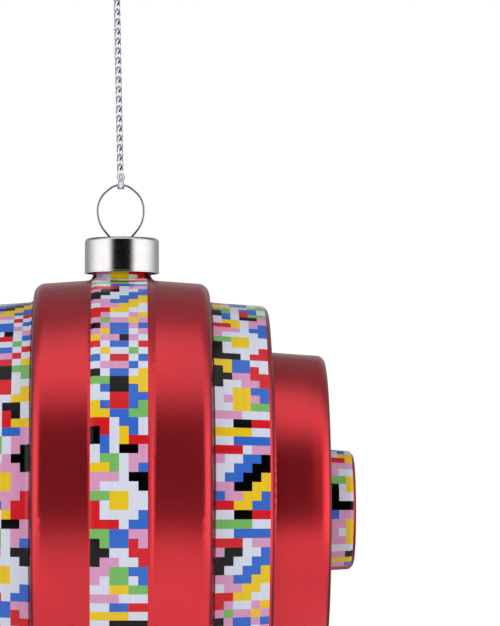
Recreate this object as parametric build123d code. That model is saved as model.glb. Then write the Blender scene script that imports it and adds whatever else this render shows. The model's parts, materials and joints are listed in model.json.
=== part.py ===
from build123d import *
import os
from itertools import accumulate
from math import cos, hypot, radians, sqrt, tan

# A blown-glass ball of stepped discs, its printed bands, the sheet-metal cap on its neck, the sprung
# wire that holds the cap, and the twisted cord that it hangs by.
# Sizes are in millimetres and angles in degrees. The pieces are built with the ball's centre at the
# origin, its discs along X and its neck along +Z, and are written with the hanging point at the origin.

# Ball: the drum narrows by the draft on both sides of its rib, and each disc beside it starts one step
# below the end of the disc before it.
mould_draft = 4.0
drum_radius = 39.6
drum_half_width = 14.9
drum_edge_radius = 2.0
band_step = 3.15
band_width = 10.0
band_edge_radius = 1.3
side_drum_step = 7.7
side_drum_width = 9.7
side_drum_edge_radius = 1.4
button_step = 16.0
button_width = 5.0
button_edge_radius = 1.2
root_radius = 0.6
glass_wall = 0.7

# Raised rib round the middle of the drum, level on top, with sloping shoulders.
rib_half_width = 4.6
rib_height = 0.35
rib_slope = 30.0
rib_shoulder_radius = 1.35

# Neck of the ball.
neck_radius = 4.95
neck_bore_radius = 3.95
neck_root_radius = 1.1
neck_rim_radius = 0.3

# Printed film on the glass, and how far each band's edges stand in from its disc's two ends. The band
# round the middle sits a little to the left.
film_thickness = 0.1
centre_print_width = 9.3
centre_print_offset = -0.4
band_print_inset = 0.2
band_print_margin = 0.9
button_print_inset = 0.8
button_print_margin = 0.6
film_under_cap = 1.0

# Cap: a drawn cup over the neck, with its mouth this far above the top of the drum.
cap_mouth_gap = 0.82
cap_height = 6.0
cap_radius = 6.35
cap_sheet = 0.35
cap_edge_radius = 0.7
cap_hem_height = 0.28
cap_hem_step = 0.06
cap_hem_rounding = 0.9
cap_hole_spacing = 3.0
cap_hole_radius = 0.55

# Hanger wire: an oval eye with a pointed tip above the cap, and two legs that spring apart inside the
# neck. It sits a little to the left. The eye's bends take up these shares of their shorter runs.
wire_radius = 0.17
eye_offset = -0.22
eye_width = 7.88
eye_shoulder_height = 2.92
eye_arch_height = 6.98
eye_tip_width = 2.2
eye_height = 9.4
leg_length = 10.15
leg_spread = 6.7
leg_bend_radius = 0.8
eye_shoulder_share = 0.495
eye_arch_share = 0.495
eye_tip_share = 0.49

# Cord: hitched under the tip of the eye, straight up to a knot, then a loop to hang it by. The loop's
# bends take up these shares of their shorter runs.
cord_radius = 0.54
hitch_radius = 0.72
hitch_height = 1.92
hitch_taper = 1.2
hitch_below_wire = 0.63
hitch_foot_radius = 0.36
hitch_clearance = 0.03
cord_length = 31.7
knot_offset = -0.97
knot_radius = 1.35
knot_height = 3.0
knot_edge_radius = 0.9
loop_width = 8.0
loop_height = 17.8
loop_waist_height = 9.0
loop_leg_spacing = 1.2
loop_leg_rise = 1.6
loop_foot_share = 0.9
loop_waist_share = 0.45
loop_crown_share = 0.49

# Places worked out from the sizes above.
draft = tan(radians(mould_draft))
disc_shapes = [
    (0, drum_half_width, drum_edge_radius),
    (band_step, band_width, band_edge_radius),
    (side_drum_step, side_drum_width, side_drum_edge_radius),
    (button_step, button_width, button_edge_radius),
]
disc_ends = list(accumulate(width for _, width, _ in disc_shapes))
disc_steps = list(accumulate(step for step, _, _ in disc_shapes))
ball_half_length = disc_ends[-1]
cap_mouth_height = drum_radius + cap_mouth_gap
cap_top = cap_mouth_height + cap_height
neck_top = cap_top - cap_sheet
wire_pivot = cap_top - cap_sheet / 2
eye_top = wire_pivot + eye_height
hitch_bottom = eye_top - wire_radius - hitch_below_wire
cord_bottom = eye_top + hitch_height
knot_bottom = cord_bottom + cord_length
knot_top = knot_bottom + knot_height
loop_top = knot_top + loop_height
hanging_height = loop_top - cord_radius


def disc_stack(inset):
    """The ball's discs as a solid of revolution about X, with every wall moved in by inset."""
    tilt = radians(mould_draft)
    slope = radians(rib_slope)
    cone_radius = drum_radius - rib_height + rib_half_width * draft

    def rim(x, step):
        return cone_radius - step - x * draft - inset / cos(tilt)

    shoulder = rib_half_width - inset * tan(slope / 2)
    top = drum_radius - inset
    foot = (top - rim(shoulder, 0)) / (tan(slope) - draft)
    right = [(shoulder, top), (shoulder + foot, rim(shoulder + foot, 0))]
    radii = [rib_shoulder_radius - inset, rib_shoulder_radius + inset]
    for (_, width, edge_radius), end, step in zip(disc_shapes, disc_ends, disc_steps):
        start = end - width
        if start:
            right.append((start - inset, rim(start - inset, step)))
            radii.append(root_radius + inset)
        right.append((end - inset, rim(end - inset, step)))
        radii.append(edge_radius - inset)
    left = [(-x, r) for x, r in reversed(right)]
    half_length = ball_half_length - inset
    points = [(-half_length, 0), *left, *right, (half_length, 0)]
    outline = FilletPolyline(*points, radius=[*reversed(radii), *radii])
    face = make_face(Plane.XZ * (outline + Line(points[-1], points[0])))
    return revolve(face, Axis.X, 360)


def necked_stack(inset, radius, root, top):
    """The disc stack with a round neck of this radius up to top, and its root rounded."""
    joined = disc_stack(inset) + extrude(Circle(radius), top)
    root_edges = [
        edge
        for edge in joined.edges().filter_by(GeomType.LINE, reverse=True)
        if edge.center().Z < top - root and edge.center().Z > 0
        and all(abs(hypot((edge @ t).X, (edge @ t).Y) - radius) < 0.01 for t in (0, 0.5, 1))
    ]
    return fillet(root_edges, root)


def glass_body():
    """One blown shell: the discs, the neck and the hollow that both share."""
    outside = necked_stack(0, neck_radius, neck_root_radius, neck_top)
    inside = necked_stack(glass_wall, neck_bore_radius, neck_root_radius + glass_wall, cap_top)
    shell = outside - inside
    rim = shell.edges().group_by(Axis.Z)[-1].filter_by(GeomType.CIRCLE).sort_by(SortBy.LENGTH)[-1]
    return fillet(rim, neck_rim_radius)


def film_shell():
    """The printed film's thickness over the whole outside of the discs and the neck."""
    film_neck_top = cap_mouth_height + film_under_cap
    outer = necked_stack(
        -film_thickness, neck_radius + film_thickness, neck_root_radius - film_thickness, film_neck_top
    )
    return outer - necked_stack(0, neck_radius, neck_root_radius, neck_top)


def film_band(film, low, high):
    """The film between two places along X."""
    return film & Pos((low + high) / 2, 0, 0) * Box(high - low, 2 * neck_top, 2 * neck_top)


def cap():
    """A drawn cup: its top rests on the neck's rim, and its mouth has a small hem."""
    outside = Pos(0, 0, cap_mouth_height) * extrude(Circle(cap_radius), cap_height)
    outside = fillet(outside.edges().group_by(Axis.Z)[-1], cap_edge_radius)
    hem = Pos(0, 0, cap_mouth_height) * extrude(Circle(cap_radius + cap_hem_step), cap_hem_height)
    hem = fillet(hem.edges().filter_by(GeomType.CIRCLE), cap_hem_rounding * cap_hem_step)
    inside = Pos(0, 0, cap_mouth_height) * extrude(Circle(cap_radius - cap_sheet), cap_height - cap_sheet)
    inside = fillet(inside.edges().group_by(Axis.Z)[-1], cap_edge_radius - cap_sheet)
    cup = outside + hem - inside
    for side in (-1, 1):
        cup -= Pos(side * cap_hole_spacing / 2, 0, cap_top) * Cylinder(cap_hole_radius, cap_height)
    return cup


def bend_radius(before, corner, after, share):
    """The arc at a corner that takes up this share of its shorter run."""
    run_in = Vector(*corner) - Vector(*before)
    run_out = Vector(*after) - Vector(*corner)
    turn = radians(run_in.get_angle(run_out))
    return share * min(run_in.length, run_out.length) / tan(turn / 2)


def tube(points, radii, radius):
    """A round wire or cord that follows straight runs joined by arcs, in the XZ plane."""
    path = Plane.XZ * FilletPolyline(*points, radius=radii)
    section = Plane(path @ 0, z_dir=path % 0) * Circle(radius)
    return sweep(section, path)


def eye_corners():
    """The corners of the eye's right half, from the cap's hole up to the tip."""
    return [
        (cap_hole_spacing / 2, wire_pivot),
        (eye_width / 2, wire_pivot + eye_shoulder_height),
        (eye_width / 2, wire_pivot + eye_arch_height),
        (eye_tip_width / 2, eye_top),
    ]


def hanger_wire():
    """The oval eye above the cap and the two legs that spring apart in the neck, bent from one wire."""
    right = [(leg_spread / 2, wire_pivot - leg_length), *eye_corners()]
    points = right + [(-x, z) for x, z in reversed(right)]
    shares = [eye_shoulder_share, eye_arch_share, eye_tip_share]
    bends = [bend_radius(*points[i : i + 3], share) for i, share in enumerate(shares, start=1)]
    radii = [leg_bend_radius, *bends]
    return Pos(eye_offset, 0, 0) * tube(points, radii + radii[::-1], wire_radius)


def cord_hitch():
    """The turn of cord under the eye's tip, with a way through for the wire."""
    points = [
        (0, hitch_bottom),
        (hitch_radius, hitch_bottom),
        (hitch_radius, cord_bottom - hitch_taper),
        (cord_radius, cord_bottom),
        (0, cord_bottom),
    ]
    outline = FilletPolyline(*points, radius=[hitch_foot_radius, hitch_taper / 2, 0])
    body = revolve(make_face(Plane.XZ * (outline + Line(points[-1], points[0]))), Axis.Z, 360)
    arch, tip = eye_corners()[-2:]
    tip_bend = bend_radius(arch, tip, (-tip[0], tip[1]), eye_tip_share)
    wire_drop = tip_bend - sqrt(tip_bend**2 - hitch_radius**2)
    way = wire_radius + wire_drop + hitch_clearance
    body -= Pos(0, 0, eye_top) * Rot(0, 90, 0) * Cylinder(way, 4 * hitch_radius)
    return Pos(eye_offset, 0, 0) * body


def cord():
    """The straight stretch from the hitch to the knot, which sits a little to one side."""
    along = Vector(knot_offset - eye_offset, 0, cord_length)
    return extrude(Pos(eye_offset, 0, cord_bottom) * Circle(cord_radius), along.length, dir=along)


def top_knot():
    """The knot that closes the hanging loop."""
    knot = Pos(knot_offset, 0, knot_bottom + knot_height / 2) * Cylinder(knot_radius, knot_height)
    return fillet(knot.edges().filter_by(GeomType.CIRCLE), knot_edge_radius)


def hanging_loop():
    """The loop above the knot. The inside of its top is the hanging point."""
    leg = loop_leg_spacing / 2
    right = [
        (knot_offset + leg, knot_top),
        (knot_offset + leg, knot_top + loop_leg_rise),
        (loop_width / 2, knot_top + loop_waist_height),
        (loop_width / 2, loop_top),
    ]
    left = [
        (-loop_width / 2, loop_top),
        (-loop_width / 2, knot_top + loop_waist_height),
        (knot_offset - leg, knot_top + loop_leg_rise),
        (knot_offset - leg, knot_top),
    ]
    points = right + left
    shares = [loop_foot_share, loop_waist_share, loop_crown_share]
    shares += shares[::-1]
    radii = [bend_radius(*points[i : i + 3], share) for i, share in enumerate(shares)]
    print("hanging loop's bend radii", [round(radius, 2) for radius in radii])
    return tube(points, radii, cord_radius)


def build():
    """Every piece, by its node's name, with the ball's centre at the origin."""
    film = film_shell()
    band_low, band_high = disc_ends[0] + band_print_inset, disc_ends[1] - band_print_margin
    button_low, button_high = disc_ends[2] + button_print_inset, disc_ends[3] - button_print_margin
    return {
        "glass_body": glass_body(),
        "centre_print_band": film_band(
            film, centre_print_offset - centre_print_width / 2, centre_print_offset + centre_print_width / 2
        ),
        "inner_print_band_left": film_band(film, -band_high, -band_low),
        "inner_print_band_right": film_band(film, band_low, band_high),
        "end_print_band_left": film_band(film, -button_high, -button_low),
        "end_print_band_right": film_band(film, button_low, button_high),
        "cap": cap(),
        "hanger_wire": hanger_wire(),
        "cord_hitch": cord_hitch(),
        "cord": cord(),
        "top_knot": top_knot(),
        "hanging_loop": hanging_loop(),
    }


os.makedirs("parts", exist_ok=True)
for node, solid in build().items():
    export_step(Pos(0, 0, -hanging_height) * solid, f"parts/{node}.step")
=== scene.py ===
import bpy
import json
import math
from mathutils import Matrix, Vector
from mathutils.bvhtree import BVHTree


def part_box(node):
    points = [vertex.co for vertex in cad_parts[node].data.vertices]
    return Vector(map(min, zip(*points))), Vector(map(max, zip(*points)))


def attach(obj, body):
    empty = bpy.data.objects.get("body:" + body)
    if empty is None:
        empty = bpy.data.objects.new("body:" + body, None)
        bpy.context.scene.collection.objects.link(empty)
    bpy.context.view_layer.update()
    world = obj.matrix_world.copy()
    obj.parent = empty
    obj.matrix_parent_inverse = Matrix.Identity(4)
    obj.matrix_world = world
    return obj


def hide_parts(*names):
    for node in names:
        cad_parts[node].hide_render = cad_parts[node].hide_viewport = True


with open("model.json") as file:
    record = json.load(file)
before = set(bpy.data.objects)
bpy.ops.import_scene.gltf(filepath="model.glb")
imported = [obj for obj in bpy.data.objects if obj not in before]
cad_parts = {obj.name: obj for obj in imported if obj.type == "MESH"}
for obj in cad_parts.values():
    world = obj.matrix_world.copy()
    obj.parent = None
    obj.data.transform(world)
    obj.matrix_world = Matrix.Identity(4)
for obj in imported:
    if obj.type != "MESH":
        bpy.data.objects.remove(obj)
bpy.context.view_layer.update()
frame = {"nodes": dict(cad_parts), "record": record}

nodes = frame["nodes"]

# Places, in metres, read from the frame. The discs' axis runs along X through the ball's centre.
right_face = next(m for m in frame["record"]["mounts"] if m["name"] == "right_end_face")
CENTRE_Z = right_face["pos_m"][2]
BALL_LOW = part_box("glass_body")[0].z
CAP_MOUTH, CAP_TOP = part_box("cap")[0].z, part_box("cap")[1].z
CORD_LOW, CORD_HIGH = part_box("cord")[0].z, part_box("cord")[1].z
KNOT_LOW, KNOT_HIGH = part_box("top_knot")[0].z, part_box("top_knot")[1].z
MM = 0.001
MICRON = 0.000001

# ---------------------------------------------------------------- camera

CAMERA_DISTANCE = 0.667
LENS, SENSOR = 224.28, 36.0
CAMERA_UP, CAMERA_RIGHT = math.radians(2.8917), math.radians(1.8847)
CLIP_START, CLIP_END = 0.01, 20.0


def make_camera():
    """A long lens level with the ball's centre, turned right and up so that the ball sits low on the left."""
    data = bpy.data.cameras.new("camera")
    data.sensor_width = SENSOR
    data.lens = LENS
    data.clip_start, data.clip_end = CLIP_START, CLIP_END
    camera = bpy.data.objects.new("camera", data)
    camera.location = (0, -CAMERA_DISTANCE, CENTRE_Z)
    camera.rotation_euler = (math.pi / 2 + CAMERA_UP, 0, -CAMERA_RIGHT)
    bpy.context.scene.collection.objects.link(camera)
    bpy.context.scene.camera = camera


make_camera()

# ---------------------------------------------------------------- helpers


def new_mesh(name, points, faces, look, smooth=True):
    """A mesh object with one material, linked to the scene."""
    mesh = bpy.data.meshes.new(name)
    mesh.from_pydata([tuple(p) for p in points], [], faces)
    mesh.materials.append(look)
    mesh.polygons.foreach_set("use_smooth", [smooth] * len(mesh.polygons))
    mesh.update()
    obj = bpy.data.objects.new(name, mesh)
    bpy.context.scene.collection.objects.link(obj)
    return obj


def smoothstep(low, high, value):
    """0 below low, 1 above high, and a smooth step between them."""
    t = min(1.0, max(0.0, (value - low) / (high - low)))
    return t * t * (3 - 2 * t)


class Nodes:
    """A short way to write a material's or the world's node tree."""

    def __init__(self, tree):
        self.tree = tree
        tree.nodes.clear()

    def add(self, kind, inputs=None, **settings):
        """A shader node. Each input is a socket to link from, or a plain value."""
        node = self.tree.nodes.new("ShaderNode" + kind)
        for name, value in settings.items():
            setattr(node, name, value)
        for key, value in (inputs or {}).items():
            if isinstance(value, bpy.types.NodeSocket):
                self.tree.links.new(value, node.inputs[key])
            else:
                node.inputs[key].default_value = value
        return node

    def math(self, operation, a, b=0.0):
        return self.add("Math", {0: a, 1: b}, operation=operation).outputs[0]

    def ramp(self, value, low, high, to_low=0.0, to_high=1.0):
        """A smooth step from to_low, where value is low, to to_high, where it is high."""
        node = self.add("MapRange", {0: value, 1: low, 2: high, 3: to_low, 4: to_high},
                        interpolation_type="SMOOTHSTEP")
        return node.outputs[0]

    def mix(self, factor, a, b):
        """Colour a where factor is 0, and colour b where it is 1."""
        a_socket, b_socket, result_socket = 6, 7, 2
        node = self.add("Mix", {0: factor, a_socket: a, b_socket: b}, data_type="RGBA")
        return node.outputs[result_socket]

    def scaled(self, colour, amount):
        """A colour made darker or lighter."""
        return self.add("VectorMath", {0: colour, "Scale": amount}, operation="SCALE").outputs[0]

    def coordinate(self, kind, axis):
        """One axis of the object's own coordinates (Object) or of its surface's direction (Normal)."""
        return self.add("SeparateXYZ", {0: self.add("TexCoord").outputs[kind]}).outputs[axis]

    def noise(self, place, scale, detail=2.0):
        node = self.add("TexNoise", {"Vector": place, "Scale": scale, "Detail": detail})
        return node.outputs["Fac"]

    def grain(self, scale, detail=2.0):
        """Noise that is alike in every direction, with about this many spots in a metre."""
        return self.noise(self.add("TexCoord").outputs["Object"], scale, detail)

    def streaks(self, scale):
        """Noise with about as many spots in a metre along X, Y and Z as scale's three numbers say."""
        place = self.add("TexCoord").outputs["Object"]
        stretched = self.add("Mapping", {"Vector": place, "Scale": scale}).outputs[0]
        return self.noise(stretched, 1.0)

    def bump(self, height, distance, normal=None):
        """The surface's direction with bumps up to distance metres high, over an earlier bump if given."""
        inputs = {"Height": height, "Distance": distance}
        if normal is not None:
            inputs["Normal"] = normal
        return self.add("Bump", inputs).outputs[0]


def material(name):
    made = bpy.data.materials.new(name)
    made.use_nodes = True
    return made, Nodes(made.node_tree)


def finish_material(n, inputs):
    shader = n.add("BsdfPrincipled", inputs)
    n.add("OutputMaterial", {"Surface": shader.outputs[0]})


# ---------------------------------------------------------------- materials

# Most of a noise lies between these two values, so most ramps over noise run from one to the other.
NOISE_LOW, NOISE_HIGH = 0.3, 0.7

# The outermost disc's lacquer leans outwards towards the disc's end. The lean grows in two steps, each from
# one place to another by an amount, and fades where the disc's own rounding starts. Places are distances in
# from the disc's end.
SIDE_DISC_END = 34.6 * MM
LEAN_STEPS = [(4.0 * MM, 2.4 * MM, 0.12), (2.0 * MM, 1.2 * MM, 0.14)]
LEAN_FADE_START, LEAN_FADE_END = 1.2 * MM, 0.3 * MM

# Colours, noise scales and bump heights. The wall is the side of a disc, which faces along X: its darker
# lacquer, a painted shade, starts where a surface's direction is WALL_START along X.
RED_DEEP, RED_LIGHT, RED_WALL_PAINTED_SHADE = (0.68, 0.023, 0.034, 1), (0.80, 0.027, 0.040, 1), (0.26, 0.016, 0.030, 1)
WALL_START, WALL_FULL = 0.60, 0.80
LACQUER_LINES, LACQUER_GRAIN, LACQUER_CLOUD = (1600, 60, 60), 5200.0, 55.0
CLOUD_LOW, CLOUD_HIGH = 0.35, 0.65
LINE_HEIGHT, GRAIN_HEIGHT = 6 * MICRON, 5 * MICRON
FILM_PLEATS, FILM_MOTTLE, PLEAT_HEIGHT = (2600, 90, 90), 1500.0, 8 * MICRON
NICKEL_DEEP, NICKEL_LIGHT = (0.67, 0.66, 0.65, 1), (0.72, 0.715, 0.71, 1)
NICKEL_GRAIN, NICKEL_CLOUD, BLAST_HEIGHT = 6500.0, 600.0, 9 * MICRON
# The wire's darkest steel colour is painted shade near the cap.
STEEL_DEEP, STEEL_LIGHT, STEEL_PAINTED_SHADE = (0.29, 0.33, 0.40, 1), (0.40, 0.44, 0.52, 1), (0.030, 0.032, 0.045, 1)
STEEL_SHADE_FULL, STEEL_SHADE_GONE = -0.2 * MM, 2.6 * MM
DRAW_MARKS = 4000.0
# The yarn's colours are painted light: a dark painted shadow, a grey painted shade and the bright foil with a
# painted highlight.
YARN_PAINTED_SHADOW, YARN_PAINTED_SHADE, YARN_FOIL_PAINTED_HIGHLIGHT = (0.010, 0.010, 0.014, 1), (0.26, 0.28, 0.37, 1), (0.97, 0.98, 1.0, 1)
YARN_FILAMENTS, FILAMENT_HEIGHT = (7000, 7000, 3000), 12 * MICRON
SHADE_DARK_TO_GREY, SHADE_GREY_TO_BRIGHT = (0.1, 0.4), (0.6, 0.9)


def lean_of_side_disc(n, normal):
    """The lacquer's direction, leaning outwards where the blown outermost disc rounds off before its end.
    Only the shading leans: the mesh stays as it is."""
    along = n.coordinate("Object", "X")
    out = n.math("ABSOLUTE", along)
    steps = [n.ramp(out, SIDE_DISC_END - start, SIDE_DISC_END - end, 0.0, amount)
             for start, end, amount in LEAN_STEPS]
    fade = n.ramp(out, SIDE_DISC_END - LEAN_FADE_START, SIDE_DISC_END - LEAN_FADE_END, 1, 0)
    crown = n.math("MULTIPLY", n.math("ADD", *steps), fade)
    lean = n.add("CombineXYZ", {0: n.math("MULTIPLY", crown, n.math("SIGN", along))}).outputs[0]
    lean = n.add("VectorTransform", {0: lean}, vector_type="VECTOR",
                 convert_from="OBJECT", convert_to="WORLD").outputs[0]
    leaning = n.add("VectorMath", {0: normal, 1: lean}, operation="ADD").outputs[0]
    return n.add("VectorMath", {0: leaning}, operation="NORMALIZE").outputs[0]


def lacquer_material():
    """Satin red lacquer over silvered glass: a coloured metal under a satin coat, with a fine sprayed grain,
    faint lines round the ball and, on the discs' walls, less coat and sheen and a darker colour that is
    painted shade."""
    made, n = material("satin_red_lacquer")
    grain = n.grain(LACQUER_GRAIN, 1.0)
    cloud = n.ramp(n.grain(LACQUER_CLOUD), CLOUD_LOW, CLOUD_HIGH)
    normal = n.bump(grain, GRAIN_HEIGHT, normal=n.bump(n.streaks(LACQUER_LINES), LINE_HEIGHT))
    wall = n.ramp(n.math("ABSOLUTE", n.coordinate("Normal", "X")), WALL_START, WALL_FULL)
    finish_material(n, {
        # The darker colour on the discs' walls is painted shade.
        "Base Color": n.mix(wall, n.mix(cloud, RED_DEEP, RED_LIGHT), RED_WALL_PAINTED_SHADE),
        "Metallic": 0.86,
        "Roughness": n.ramp(grain, NOISE_LOW, NOISE_HIGH, 0.27, 0.33),
        "Coat Weight": n.ramp(wall, 0, 1, 0.8, 0.25),
        "Coat Roughness": 0.25,
        "Coat IOR": 1.33,
        "Sheen Weight": n.ramp(wall, 0, 1, 0.022, 0.0),
        "Sheen Roughness": 0.7,
        "Sheen Tint": (0.4, 0.6, 1.0, 1),
        "Normal": lean_of_side_disc(n, normal),
    })
    return made


def film_material():
    """Printed film: opaque inks from the mesh's ink colours, a low gloss, and fine pleats round the ball."""
    made, n = material("printed_film")
    ink = n.add("VertexColor", layer_name="ink").outputs["Color"]
    pleats = n.streaks(FILM_PLEATS)
    # The inks are painted a little darker and lighter along the pleats, a painted shade of their folds, and
    # mottled at random.
    shade = n.math("MULTIPLY", n.ramp(pleats, NOISE_LOW, NOISE_HIGH, 0.955, 1.015),
                   n.ramp(n.grain(FILM_MOTTLE), NOISE_LOW, NOISE_HIGH, 0.985, 1.01))
    finish_material(n, {
        "Base Color": n.scaled(ink, shade),
        "Roughness": 0.18,
        "IOR": 1.36,
        "Normal": n.bump(pleats, PLEAT_HEIGHT),
    })
    return made


def nickel_material():
    """Satin nickel plate: a fine blasted grain that blurs the edges of what it reflects."""
    made, n = material("satin_nickel_plate")
    grain = n.grain(NICKEL_GRAIN)
    cloud = n.ramp(n.grain(NICKEL_CLOUD), NOISE_LOW, NOISE_HIGH)
    finish_material(n, {
        "Base Color": n.mix(cloud, NICKEL_DEEP, NICKEL_LIGHT),
        "Metallic": 1.0,
        "Roughness": n.ramp(grain, NOISE_LOW, NOISE_HIGH, 0.13, 0.19),
        "Normal": n.bump(grain, BLAST_HEIGHT),
    })
    return made


def wire_material():
    """Drawn spring wire: bright steel with faint draw marks, and painted shade where it goes into the cap."""
    made, n = material("drawn_spring_wire")
    marks = n.grain(DRAW_MARKS)
    steel = n.mix(n.ramp(marks, NOISE_LOW, NOISE_HIGH), STEEL_DEEP, STEEL_LIGHT)
    # Painted shade: the steel turns dark towards the cap's top.
    out_of_shade = n.ramp(n.coordinate("Object", "Z"), CAP_TOP + STEEL_SHADE_FULL, CAP_TOP + STEEL_SHADE_GONE)
    finish_material(n, {
        "Base Color": n.mix(out_of_shade, STEEL_PAINTED_SHADE, steel),
        "Metallic": 1.0,
        "Roughness": n.ramp(marks, NOISE_LOW, NOISE_HIGH, 0.20, 0.32),
    })
    return made


def cord_material():
    """Silver metallic yarn: fine filaments of foil, with light and shade painted in by the mesh's shade
    attribute:
    a painted highlight on the stitches' crowns, painted grey shade on the arches and a painted shadow in the
    openings."""
    made, n = material("silver_metallic_yarn")
    shade = n.add("Attribute", attribute_name="shade").outputs["Fac"]
    strands = n.streaks(YARN_FILAMENTS)
    grey = n.mix(n.ramp(shade, *SHADE_DARK_TO_GREY), YARN_PAINTED_SHADOW, YARN_PAINTED_SHADE)
    foil = n.mix(n.ramp(shade, *SHADE_GREY_TO_BRIGHT), grey, YARN_FOIL_PAINTED_HIGHLIGHT)
    finish_material(n, {
        # The foil is painted a little darker between the filaments, a painted shade over their bump.
        "Base Color": n.scaled(foil, n.ramp(strands, NOISE_LOW, NOISE_HIGH, 0.88, 1.0)),
        "Metallic": 0.0,
        "Roughness": n.ramp(strands, NOISE_LOW, NOISE_HIGH, 0.35, 0.5),
        "Normal": n.bump(strands, FILAMENT_HEIGHT),
    })
    return made


LACQUER = lacquer_material()
FILM = film_material()
NICKEL = nickel_material()
WIRE = wire_material()
CORD = cord_material()

# ---------------------------------------------------------------- cord

# The cord's route, from the top of the hitch to the knot. The eye's tip is the middle of the wire there.
CORD_DIAMETER = 1.08 * MM
CORD_LENGTH = 31.7 * MM
CORD_START = Vector((-0.29 * MM, 0, CORD_LOW))
CORD_END = Vector((-0.97 * MM, 0, CORD_HIGH))
FIRST_RUN = 6 * CORD_DIAMETER
EYE_X = -0.22 * MM
EYE_TOP = CORD_LOW - 1.92 * MM
ROUTE_RESOLUTION = 24

# How far the stitches are turned about the cord where a piece starts and ends, in degrees.
CORD_TURNS, KNOT_STITCH_TURNS, LOOP_TURNS = (-4, 12), (0, 90), (0, 120)

# The cord is knitted of foil yarn. On its front and its back, each stitch is an arch over the body, and
# beside the middle of the arch the next stitch dives in. The light and shade are painted: the body carries a
# painted highlight, each arch painted grey shade, and a dark strand lies in the opening as a painted shadow.
# Places are across and along: along is a share of the stitch's length, and across is a share of the cord's
# radius, as are the strands' radii and how far out they lie.
STITCH = 1.677 * MM
YARN_SIDES = 8
STEPS_PER_POINT = 3
NO_LENGTH = 1e-6
ARCH_SHAPE = [(-0.78, -0.74), (-0.79, -0.54), (-0.66, -0.33), (-0.42, -0.13), (-0.12, 0.0),
              (0.22, -0.08), (0.52, -0.28), (0.76, -0.52), (0.78, -0.72)]
OPENING_SHAPE = [(0.60, -0.24), (0.40, -0.37), (0.14, -0.52), (0.0, -0.64)]
BODY_RADIUS, ARCH_RADIUS, OPENING_RADIUS = 0.80, 0.25, 0.27
ARCH_OUT, OPENING_OUT = 0.80, 0.78
# Painted light for each strand: the body a painted highlight, the arches painted grey shade, the openings a
# painted shadow.
BODY_PAINTED_HIGHLIGHT, ARCH_PAINTED_SHADE, OPENING_PAINTED_SHADOW = 1.0, 0.5, 0.0


def spline_path(points):
    """Points along a smooth NURBS line with these control points."""
    curve = bpy.data.curves.new("route", "CURVE")
    curve.dimensions = "3D"
    spline = curve.splines.new("NURBS")
    spline.points.add(len(points) - 1)
    for place, control in zip(points, spline.points):
        control.co = (*place, 1)
    spline.order_u = 3
    spline.use_endpoint_u = True
    spline.resolution_u = ROUTE_RESOLUTION
    holder = bpy.data.objects.new("route", curve)
    mesh = bpy.data.meshes.new_from_object(holder)
    path = [v.co.copy() for v in mesh.vertices]
    bpy.data.objects.remove(holder)
    bpy.data.curves.remove(curve)
    bpy.data.meshes.remove(mesh)
    return path


class Track:
    """Places along a path by distance, with the path's direction and a front that turns with it."""

    def __init__(self, path):
        self.path = path
        self.reach = [0.0]
        for a, b in zip(path, path[1:]):
            self.reach.append(self.reach[-1] + (b - a).length)
        self.length = self.reach[-1]
        self.fronts = []
        front = Vector((0, -1, 0))
        for i in range(len(path)):
            along = (path[min(i + 1, len(path) - 1)] - path[max(i - 1, 0)]).normalized()
            front = (front - along * front.dot(along)).normalized()
            self.fronts.append((along, front))

    def at(self, distance):
        """(place, along, front) at a distance from the start, in line with the ends beyond them."""
        i = 0
        while i < len(self.path) - 2 and self.reach[i + 1] < distance:
            i += 1
        share = (distance - self.reach[i]) / (self.reach[i + 1] - self.reach[i])
        place = self.path[i].lerp(self.path[i + 1], share)
        bounded = min(1.0, max(0.0, share))
        along = self.fronts[i][0].lerp(self.fronts[i + 1][0], bounded).normalized()
        front = self.fronts[i][1].lerp(self.fronts[i + 1][1], bounded).normalized()
        return place, along, front


def smooth_line(points, steps):
    """A smooth line through points, with this many steps between neighbours."""
    line = []
    for i in range(len(points) - 1):
        p0, p1 = points[max(i - 1, 0)], points[i]
        p2, p3 = points[i + 1], points[min(i + 2, len(points) - 1)]
        for k in range(steps):
            t = k / steps
            line.append(0.5 * (2 * p1 + (p2 - p0) * t + (2 * p0 - 5 * p1 + 4 * p2 - p3) * t * t
                               + (3 * p1 - p0 - 3 * p2 + p3) * t ** 3))
    line.append(points[-1])
    return line


def yarn_piece(name, strands, body, node):
    """Closed round yarns in place of a CAD node, from (line, radius, shade) for each strand."""
    points, faces, shades = [], [], []
    for line, radius, shade in strands:
        start = len(points)
        side = Vector((1, 0, 0))
        for i, place in enumerate(line):
            along = (line[min(i + 1, len(line) - 1)] - line[max(i - 1, 0)]).normalized()
            side = side - along * side.dot(along)
            if side.length < NO_LENGTH:
                side = along.orthogonal()
            side.normalize()
            up = along.cross(side)
            for k in range(YARN_SIDES):
                angle = 2 * math.pi * k / YARN_SIDES
                points.append(place + (side * math.cos(angle) + up * math.sin(angle)) * radius)
                shades.append(shade)
        for i in range(len(line) - 1):
            for k in range(YARN_SIDES):
                a = start + i * YARN_SIDES + k
                b = start + i * YARN_SIDES + (k + 1) % YARN_SIDES
                faces.append((a, b, b + YARN_SIDES, a + YARN_SIDES))
        last = start + (len(line) - 1) * YARN_SIDES
        faces.append(tuple(start + k for k in reversed(range(YARN_SIDES))))
        faces.append(tuple(last + k for k in range(YARN_SIDES)))
    obj = new_mesh(name, points, faces, CORD)
    obj.data.attributes.new("shade", "FLOAT", "POINT").data.foreach_set("value", shades)
    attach(obj, body)
    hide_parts(node)
    return obj


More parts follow.
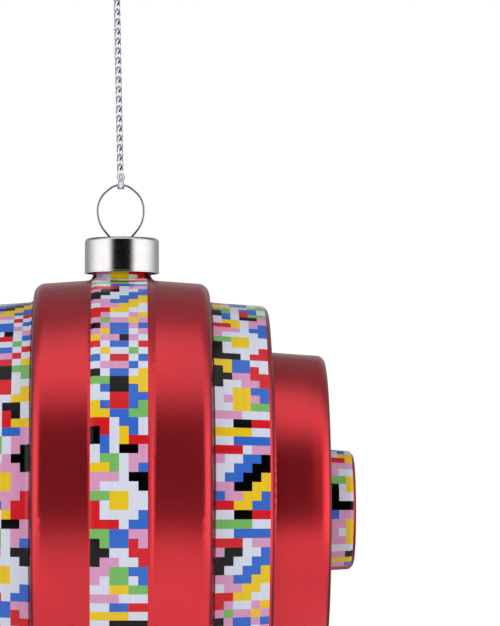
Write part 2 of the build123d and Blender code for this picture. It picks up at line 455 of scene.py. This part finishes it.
def knitted_strands(track, turn_start, turn_end, radius):
    """The strands of a knitted cord along a track. Its stitches turn slowly about the track."""
    count = round(track.length / STITCH)
    stitch = track.length / count
    strands = [(track.path, BODY_RADIUS * radius, BODY_PAINTED_HIGHLIGHT)]
    parts = ((ARCH_SHAPE, ARCH_OUT, ARCH_RADIUS, ARCH_PAINTED_SHADE),
             (OPENING_SHAPE, OPENING_OUT, OPENING_RADIUS, OPENING_PAINTED_SHADOW))
    for half in range(2 * count):
        top = (half / 2 + 1) * stitch
        for shape, out, share, shade in parts:
            line = []
            for across, along_share in shape:
                distance = min(track.length, max(0.0, top + along_share * stitch))
                place, along, front = track.at(distance)
                turn = turn_start + (turn_end - turn_start) * distance / track.length + math.pi * (half % 2)
                turn += math.asin(across / out)
                side = along.cross(front)
                line.append(place + (front * math.cos(turn) + side * math.sin(turn)) * out * radius)
            strands.append((smooth_line(line, STEPS_PER_POINT), share * radius, shade))
    return strands


def knitted_piece(name, node, path, turns, radius=CORD_DIAMETER / 2):
    """A knitted cord along a path, in place of a CAD node."""
    strands = knitted_strands(Track(path), math.radians(turns[0]), math.radians(turns[1]), radius)
    return yarn_piece(name, strands, "cord", node)


# The hitch, in mm from the eye's tip: across, back and up. Its two strands each come down from the cord in
# front of the wire, turn under it and go up again behind it. Their bright crowns, thin strands of painted
# highlight at the front and the back, stop at HITCH_HIGHLIGHT_LOW.
HITCH_STRANDS = [
    [(0.10, -0.12, 2.00), (0.36, -0.20, 1.62), (0.46, -0.30, 1.20), (0.26, -0.44, 0.78), (-0.14, -0.52, 0.42),
     (-0.34, -0.50, 0.05), (-0.38, -0.36, -0.34), (-0.38, 0.00, -0.50), (-0.36, 0.36, -0.32),
     (-0.30, 0.48, 0.10), (0.00, 0.42, 0.60), (0.14, 0.30, 1.20), (0.05, 0.15, 2.00)],
    [(-0.08, -0.10, 2.00), (-0.34, -0.14, 1.66), (-0.42, -0.18, 1.30), (-0.26, -0.26, 0.95),
     (0.08, -0.34, 0.62), (0.34, -0.48, 0.25), (0.40, -0.44, -0.20), (0.40, 0.00, -0.50), (0.38, 0.38, -0.30),
     (0.30, 0.48, 0.10), (0.05, 0.44, 0.65), (-0.16, 0.30, 1.30), (-0.10, 0.15, 2.00)],
]
HITCH_BODY = [(0.0, 0.0, 2.00), (0.05, -0.04, 1.40), (0.02, -0.14, 0.85), (0.0, -0.38, 0.42),
              (0.0, -0.54, 0.00), (0.0, -0.46, -0.34), (0.0, -0.16, -0.48)]
HITCH_FOOT = [(-0.48, -0.34, -0.36), (-0.22, -0.42, -0.59), (0.02, -0.42, -0.68), (0.28, -0.42, -0.59),
              (0.52, -0.34, -0.36)]
HITCH_YARN_RADIUS, HITCH_BODY_RADIUS, HITCH_FOOT_RADIUS = 0.24 * MM, 0.27 * MM, 0.14 * MM
# The crowns are thin strands of painted highlight, and the foot's darker yarn is painted shade.
HITCH_HIGHLIGHT_RADIUS, HITCH_HIGHLIGHT_OUT, HITCH_HIGHLIGHT_LOW = 0.12 * MM, 0.13 * MM, -0.30 * MM
HITCH_FOOT_PAINTED_SHADE = 0.35
HITCH_STEPS = 5


def make_hitch():
    """The cord's last turn, which carries the tip of the wire eye: two yarns in painted grey shade with
    crowns of painted highlight, round a body in painted highlight, and the darker stitch under the eye that
    closes them, painted as shade."""
    tip = Vector((EYE_X, 0, EYE_TOP))

    def line_of(shape):
        return smooth_line([tip + Vector(place) * MM for place in shape], HITCH_STEPS)

    strands = [(line_of(HITCH_BODY), HITCH_BODY_RADIUS, BODY_PAINTED_HIGHLIGHT),
               (line_of(HITCH_FOOT), HITCH_FOOT_RADIUS, HITCH_FOOT_PAINTED_SHADE)]
    for shape in HITCH_STRANDS:
        line = line_of(shape)
        strands.append((line, HITCH_YARN_RADIUS, ARCH_PAINTED_SHADE))
        for side in (-1, 1):
            crown = [p + Vector((0, side * HITCH_HIGHLIGHT_OUT, 0)) for p in line
                     if p.y * side > 0 and p.z > tip.z + HITCH_HIGHLIGHT_LOW]
            strands.append((crown, HITCH_HIGHLIGHT_RADIUS, BODY_PAINTED_HIGHLIGHT))
    return yarn_piece("cord_hitch_strands", strands, "hitch", "cord_hitch")


KNOT_TURNS = 2.4
KNOT_POINTS = 40
KNOT_COIL_RADIUS = 0.86 * MM
KNOT_SQUEEZE = 0.88
KNOT_TAPER = 0.12


def make_knot():
    """A barrel knot: the cord coiled tightly round itself."""
    points = []
    end_gap = 0.5 * CORD_DIAMETER * KNOT_SQUEEZE
    for i in range(KNOT_POINTS + 1):
        share = i / KNOT_POINTS
        angle = 2 * math.pi * KNOT_TURNS * share
        reach = KNOT_COIL_RADIUS * smoothstep(0, KNOT_TAPER, share) * smoothstep(0, KNOT_TAPER, 1 - share)
        height = KNOT_LOW + end_gap + (KNOT_HIGH - KNOT_LOW - 2 * end_gap) * share
        points.append((CORD_END.x + reach * math.cos(angle), reach * math.sin(angle), height))
    return knitted_piece("top_knot_coil", "top_knot", spline_path(points), KNOT_STITCH_TURNS,
                         KNOT_SQUEEZE * CORD_DIAMETER / 2)


LOOP_LEG, LOOP_RISE, LOOP_INTO_KNOT = 0.6 * MM, 1.6 * MM, 1.2 * MM
LOOP_HALF, LOOP_WAIST, LOOP_TOP = 4.0 * MM, 9.0 * MM, 17.8 * MM


def make_loop():
    """The loop above the knot, hung by the inside of its top at the origin."""
    right_leg, left_leg = CORD_END.x + LOOP_LEG, CORD_END.x - LOOP_LEG
    right = [(right_leg, -LOOP_INTO_KNOT), (right_leg, LOOP_RISE), (LOOP_HALF, LOOP_WAIST)]
    top = [(LOOP_HALF, LOOP_TOP), (-LOOP_HALF, LOOP_TOP)]
    left = [(-LOOP_HALF, LOOP_WAIST), (left_leg, LOOP_RISE), (left_leg, -LOOP_INTO_KNOT)]
    points = [(x, 0, KNOT_HIGH + z) for x, z in right + top + left]
    return knitted_piece("hanging_loop_cord", "hanging_loop", spline_path(points), LOOP_TURNS)


def make_cord():
    """The straight knitted cord from the hitch to the knot, with the pieces at its ends."""
    path = spline_path([CORD_START, CORD_START.lerp(CORD_END, FIRST_RUN / CORD_LENGTH), CORD_END])
    obj = knitted_piece("knitted_cord", "cord", path, CORD_TURNS)
    make_hitch()
    make_knot()
    make_loop()


make_cord()

# ---------------------------------------------------------------- carried-over pieces

for node, look in (("glass_body", LACQUER), ("cap", NICKEL), ("hanger_wire", WIRE)):
    nodes[node].data.materials[0] = look

# ---------------------------------------------------------------- printed bands

WHITE, BLACK = (0.658, 0.687, 0.807), (0.0012, 0.0010, 0.0014)
BLUE, YELLOW = (0.036, 0.137, 0.570), (0.800, 0.540, 0.014)
RED, PINK, GREEN = (0.630, 0.011, 0.018), (0.660, 0.310, 0.510), (0.176, 0.465, 0.122)
INKS = {"w": WHITE, "k": BLACK, "b": BLUE, "y": YELLOW, "r": RED, "p": PINK, "g": GREEN}
FILM_THICKNESS = 0.1 * MM
ROW = 1.52 * MM
FACES_PER_ROW = 3
FACES_PER_COLUMN = 3
SHARP_ANGLE = math.radians(50)

# The bands round the second disc and the end button: their columns of print, how far their lines wander, and
# where in the turns of print each starts. The wandering is a sum of waves round the ball: size, number of
# waves and where it starts.
INNER_COLUMNS, INNER_DRIFT = 6, 0.12 * MM
END_COLUMNS, END_DRIFT = 3, 0.05 * MM
SIDE_STARTS, END_AFTER_INNER = (("left", 1), ("right", 6)), 3
DRIFT_WAVES = [(1.0, 1, 0.7), (0.45, 3, 2.1), (0.25, 7, 0.0)]

# The centre band: its rows over each part of the ball, and how its line is found near the neck. A fan of rays
# from beside the neck covers the root, from the drum up to the film's top. Along it, the columns close in on
# the neck until they are NECK_CLOSED of the way.
CENTRE_COLUMNS, CENTRE_START = 6, 4
NECK_ROWS, DRUM_ROWS, UNDER_ROWS = 5, 34, 81
NECK_ZONE = 10.0 * MM
NECK_FILM_RADIUS = 5.05 * MM
NECK_DRUM_STEPS = 6
NECK_CLOSED = 0.6
FILM_TOP = CAP_MOUTH + 1.0 * MM
FAN_OUT, FAN_UP = 7.5 * MM, 1.0 * MM
FAN_RAYS = 60

# A ray from RAY_DROP below the ball's centre measures its radius. Its slope is taken over two slope steps.
RAY_DROP = 0.06
SLOPE_STEP = 0.00005


def surface_of(node):
    """A search tree over a CAD node's mesh."""
    mesh = nodes[node].data
    return BVHTree.FromPolygons([v.co for v in mesh.vertices], [p.vertices for p in mesh.polygons])


GLASS = surface_of("glass_body")


def radius_at(x):
    """The ball's outer radius at a place along its axis, measured from below."""
    hit = GLASS.ray_cast(Vector((x, 0, CENTRE_Z - RAY_DROP)), Vector((0, 0, 1)))[0]
    return CENTRE_Z - hit.z


# Small blocks of print, one letter for each cell, and the inks that change places from one block to the next.
# From one turn to the next, the block moves on by BLOCK_STRIDE and the swap by SWAP_STRIDE.
BLOCKS = [
    ("ppbbyy", "prbbyk", "rrwwkk", "rwwppk", "bbyypp", "bwyywp"),
    ("yywwgg", "ywrrwg", "bbrrww", "bwkkwy", "ggkkyy"),
    ("kwwbbp", "kkwwbb", "ykkwwb", "yykkpp", "wyyppw", "wwyyrr"),
    ("bbbwrr", "bwwwwr", "bwyyww", "ggyyww", "pwwwwk", "pppwkk"),
    ("rwbbwr", "wgwwyw", "bwrrwb", "wbpppw", "ywbbwk"),
    ("rrrwpp", "wwbbbb", "yyyyww", "wwkkrr", "pppwww", "wwyygg"),
    ("wbbwyy", "wbrwyk", "yyrwbk", "pkkwbw", "ppwggw", "bpwgrr"),
    ("ywwkwp", "wybbpw", "kwbbwb", "wgwwyw", "rwppwy"),
]
SWAPS = ["", "br", "wp", "ry", "bk", "wb", "yg"]
BLOCK_STRIDE, SWAP_STRIDE = 3, 2


def pattern(rows, columns, start):
    """Ink letters for each row: the blocks in turn, every other one turned round, with inks swapped."""
    made = []
    turn = start
    while len(made) < rows:
        block = BLOCKS[turn * BLOCK_STRIDE % len(BLOCKS)]
        swap = SWAPS[turn * SWAP_STRIDE % len(SWAPS)]
        letters = str.maketrans(swap, swap[::-1])
        for row in block if turn % 2 else block[::-1]:
            made.append((row if turn % 2 else row[::-1]).translate(letters)[:columns])
        turn += 1
    return made[:rows]


def band_mesh(name, rings, closed, letters, node):
    """A film from rings of (place, outward) pairs, with an ink colour for each cell. If closed, the last ring
    joins the first, and otherwise the film has two ends."""
    count, wide = len(rings), len(rings[0])
    points = [p for ring in rings for p, _ in ring]
    points += [p - out * FILM_THICKNESS for ring in rings for p, out in ring]
    under = count * wide
    faces, inks = [], []

    def ink_at(ring, step):
        row = letters[min(ring // FACES_PER_ROW, len(letters) - 1)]
        return INKS[row[step // FACES_PER_COLUMN]]

    for i in range(count if closed else count - 1):
        j = (i + 1) % count
        for c in range(wide - 1):
            a, b, d, e = i * wide + c, i * wide + c + 1, j * wide + c + 1, j * wide + c
            ink = ink_at(i, c)
            faces += [(a, b, d, e), (under + e, under + d, under + b, under + a)]
            inks += [ink, ink]
            if c == 0:
                faces.append((a, e, under + e, under + a))
                inks.append(ink)
            if c == wide - 2:
                faces.append((d, b, under + b, under + d))
                inks.append(ink)
    if not closed:
        for i, order in ((0, 1), (count - 1, -1)):
            for c in range(wide - 1):
                a, b = i * wide + c, i * wide + c + 1
                faces.append((b, a, under + a, under + b)[::order])
                inks.append(ink_at(i, c))
    obj = new_mesh(name, points, faces, FILM)
    layer = obj.data.color_attributes.new("ink", "FLOAT_COLOR", "CORNER")
    colours = []
    for polygon, ink in zip(obj.data.polygons, inks):
        colours += [*ink, 1.0] * len(polygon.vertices)
    layer.data.foreach_set("color", colours)
    obj.data.set_sharp_from_angle(angle=SHARP_ANGLE)
    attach(obj, "ball")
    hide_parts(node)
    return obj


def outward_at(x, radius, angle):
    """The ball's outward direction at a place along its axis, where angle is 0 at the front and a quarter
    turn at the top."""
    slope = (radius_at(x + SLOPE_STEP) - radius_at(x - SLOPE_STEP)) / (2 * SLOPE_STEP)
    return Vector((-slope, -math.cos(angle), math.sin(angle))).normalized()


def drift(angle, most):
    """How far a band's line wanders sideways round the ball."""
    return most * sum(size * math.sin(waves * angle + start) for size, waves, start in DRIFT_WAVES)


def spread(low, high, columns):
    """Places across a band, with FACES_PER_COLUMN steps in each of its columns."""
    steps = columns * FACES_PER_COLUMN
    return [low + (high - low) * c / steps for c in range(steps + 1)]


def drum_point(x, angle):
    """A film point and its outward direction, at a place along the axis and an angle round it."""
    radius = radius_at(x)
    out = outward_at(x, radius, angle)
    place = Vector((x, -radius * math.cos(angle), CENTRE_Z + radius * math.sin(angle)))
    return place + out * FILM_THICKNESS, out


def ring_band(node, columns, start, most):
    """A band of film right round one disc, over the width of its CAD node."""
    low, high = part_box(node)
    rows = round(2 * math.pi * radius_at((low.x + high.x) / 2) / ROW)
    count = rows * FACES_PER_ROW
    rings = []
    for i in range(count):
        angle = 2 * math.pi * i / count
        rings.append([drum_point(x + drift(angle, most), angle) for x in spread(low.x, high.x, columns)])
    band_mesh(node + "_film", rings, True, pattern(rows, columns, start), node)


def neck_line(x):
    """Film points at x from the drum in front of the neck, through the neck's root and up its wall to the
    film's top."""
    line = []
    for i in range(NECK_DRUM_STEPS):
        y = NECK_ZONE + (FAN_OUT - NECK_ZONE) * i / NECK_DRUM_STEPS
        line.append(drum_point(x, math.acos(y / radius_at(x))))
    for i in range(FAN_RAYS):
        share = i / FAN_RAYS
        closing = smoothstep(0, NECK_CLOSED, share)
        inward = x + (NECK_FILM_RADIUS * math.sin(x / NECK_FILM_RADIUS) - x) * closing
        aim = Vector((0, math.sin(share * math.pi / 2), -math.cos(share * math.pi / 2)))
        place, out = GLASS.ray_cast(Vector((inward, -FAN_OUT, FILM_TOP + FAN_UP)), aim)[:2]
        if place.z > FILM_TOP:
            share = (FILM_TOP - line[-1][0].z) / (place.z - line[-1][0].z)
            place = line[-1][0].lerp(place + out * FILM_THICKNESS, share)
            line.append((place, out))
            break
        line.append((place + out * FILM_THICKNESS, out))
    return line


def even_steps(line, steps):
    """A line of (place, outward) pairs cut into this many even steps."""
    track = Track([place for place, _ in line])
    made = []
    for i in range(steps + 1):
        distance = track.length * i / steps
        nearest = min(range(len(line)), key=lambda k: abs(track.reach[k] - distance))
        made.append((track.at(distance)[0], line[nearest][1]))
    return made


def centre_band():
    """The band round the middle of the drum, up the neck and under the cap at both ends."""
    low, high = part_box("centre_print_band")
    edge = math.acos(NECK_ZONE / radius_at(0))
    turns = [(-math.pi - edge, -math.pi, DRUM_ROWS), (-math.pi, 0, UNDER_ROWS), (0, edge, DRUM_ROWS)]
    columns = []
    for x in spread(low.x, high.x, CENTRE_COLUMNS):
        front = even_steps(neck_line(x), NECK_ROWS * FACES_PER_ROW)
        back = [(Vector((p.x, -p.y, p.z)), Vector((n.x, -n.y, n.z))) for p, n in reversed(front)]
        column = back[:-1]
        for start, end, rows in turns:
            steps = rows * FACES_PER_ROW
            column += [drum_point(x, start + (end - start) * i / steps) for i in range(steps)]
        columns.append(column + front)
    rings = [list(ring) for ring in zip(*columns)]
    letters = pattern(2 * NECK_ROWS + 2 * DRUM_ROWS + UNDER_ROWS, CENTRE_COLUMNS, CENTRE_START)
    band_mesh("centre_print_band_film", rings, False, letters, "centre_print_band")


centre_band()
for side, start in SIDE_STARTS:
    ring_band(f"inner_print_band_{side}", INNER_COLUMNS, start, INNER_DRIFT)
    ring_band(f"end_print_band_{side}", END_COLUMNS, start + END_AFTER_INNER, END_DRIFT)

# ---------------------------------------------------------------- floor, world and lamps

FLOOR_BELOW = 0.05
FLOOR_RADIUS, FLOOR_FADE_START = 0.13, 0.8
FLOOR_CORNERS = 96
FLOOR_GRAIN, FLOOR_DETAIL = 40.0, 3.0
FLOOR_DEEP, FLOOR_LIGHT = (0.80, 0.80, 0.81, 1), (0.84, 0.84, 0.84, 1)
FLOOR_GLOW, FLOOR_GLOW_SEEN = 0.17, 0.4
PLAIN_WHITE = (1, 1, 1, 1)


def make_floor():
    """A pale round table top under the hanging ball, lit a little more than the studio alone lights it and
    fading at its edge."""
    made, n = material("pale_floor")
    seen = n.add("LightPath").outputs["Is Camera Ray"]
    grain = n.ramp(n.grain(FLOOR_GRAIN, FLOOR_DETAIL), NOISE_LOW, NOISE_HIGH)
    diffuse = n.add("BsdfDiffuse", {"Color": n.mix(grain, FLOOR_DEEP, FLOOR_LIGHT)})
    strength = n.ramp(seen, 0, 1, FLOOR_GLOW, FLOOR_GLOW_SEEN)
    glow = n.add("Emission", {"Color": PLAIN_WHITE, "Strength": strength})
    both = n.add("AddShader", {0: diffuse.outputs[0], 1: glow.outputs[0]})
    z = BALL_LOW - FLOOR_BELOW
    reach = n.add("VectorMath", {0: n.add("TexCoord").outputs["Object"], 1: (0, 0, z)},
                  operation="DISTANCE").outputs["Value"]
    gone = n.ramp(reach, FLOOR_FADE_START * FLOOR_RADIUS, FLOOR_RADIUS)
    clear = n.add("BsdfTransparent").outputs[0]
    faded = n.add("MixShader", {0: gone, 1: both.outputs[0], 2: clear})
    n.add("OutputMaterial", {"Surface": faded.outputs[0]})
    points = [(0, 0, z)]
    for i in range(FLOOR_CORNERS):
        angle = 2 * math.pi * i / FLOOR_CORNERS
        points.append((FLOOR_RADIUS * math.cos(angle), FLOOR_RADIUS * math.sin(angle), z))
    faces = [(0, 1 + i, 1 + (i + 1) % FLOOR_CORNERS) for i in range(FLOOR_CORNERS)]
    floor = new_mesh("floor", points, faces, made, smooth=False)


# The studio's parts, from one angle to another in degrees. Side is measured from straight in front of the
# object, and height from the horizon. Only the front is darker than GREY_LEVEL.
FRONT_SIDE_END, FRONT_START, FRONT_TOP = (24, 46), (-24, -4), (42, 66)
BACK_SIDE_START, BACK_TOP = (70, 140), (62, 90)
UPPER_HEIGHT, UPPER_LEVELS = (16, 44), (1.42, 0.95)
UNDER_HEIGHT, UNDER_DARKENING = (-26, -4), 0.56
BACK_DARKENING = 1.04
GREY_LEVEL = 0.17


def make_world():
    """White for the camera. For everything else a soft white studio that is dark in front of the object,
    grey behind it and darker underneath."""
    world = bpy.data.worlds.new("studio")
    world.use_nodes = True
    bpy.context.scene.world = world
    n = Nodes(world.node_tree)
    x, y, z = n.add("SeparateXYZ", {0: n.add("TexCoord").outputs["Generated"]}).outputs
    degrees = 180 / math.pi
    turned = n.math("ARCTAN2", n.math("ABSOLUTE", x), n.math("MULTIPLY", y, -1.0))
    side = n.math("MULTIPLY", turned, degrees)
    height = n.math("MULTIPLY", n.math("ARCSINE", z), degrees)
    facing = n.math("MULTIPLY", n.ramp(height, *FRONT_START), n.ramp(height, *FRONT_TOP, 1, 0))
    front = n.math("MULTIPLY", n.ramp(side, *FRONT_SIDE_END, 1, 0), facing)
    back = n.math("MULTIPLY", n.ramp(side, *BACK_SIDE_START), n.ramp(height, *BACK_TOP, 1, 0))
    around = n.math("SUBTRACT", n.ramp(height, *UPPER_HEIGHT, *UPPER_LEVELS),
                    n.ramp(height, *UNDER_HEIGHT, UNDER_DARKENING, 0.0))
    behind = n.math("SUBTRACT", around, n.math("MULTIPLY", back, BACK_DARKENING))
    lit = n.math("MAXIMUM", behind, GREY_LEVEL)
    level = n.math("MULTIPLY", n.math("SUBTRACT", 1.0, front), lit)
    seen = n.add("LightPath").outputs["Is Camera Ray"]
    studio = n.add("Background", {"Color": PLAIN_WHITE, "Strength": level})
    white = n.add("Background", {"Color": PLAIN_WHITE, "Strength": 1.0})
    mix = n.add("MixShader", {0: seen, 1: studio.outputs[0], 2: white.outputs[0]})
    n.add("OutputWorld", {"Surface": mix.outputs[0]})


# The lamps, which no gloss shows: name, place in metres from the ball's centre, and power in watts.
LAMPS = [("front_fill", (0, -1.1, 0.25), 4.5), ("top_fill", (0, 0.35, 1.1), 2.4)]
LAMP_WIDTH, LAMP_HEIGHT = 0.9, 0.7


def area_lamp(name, place, power):
    """A soft lamp that is aimed at the ball's centre."""
    data = bpy.data.lights.new(name, "AREA")
    data.shape = "RECTANGLE"
    data.size, data.size_y = LAMP_WIDTH, LAMP_HEIGHT
    data.energy = power
    lamp = bpy.data.objects.new(name, data)
    across, back, up = place
    lamp.location = (across, back, CENTRE_Z + up)
    aim = Vector((0, 0, CENTRE_Z)) - lamp.location
    lamp.rotation_euler = aim.to_track_quat("-Z", "Y").to_euler()
    lamp.visible_camera = False
    lamp.visible_glossy = False
    bpy.context.scene.collection.objects.link(lamp)


make_floor()
make_world()
for lamp in LAMPS:
    area_lamp(*lamp)

bpy.context.scene.view_settings.view_transform = "Standard"
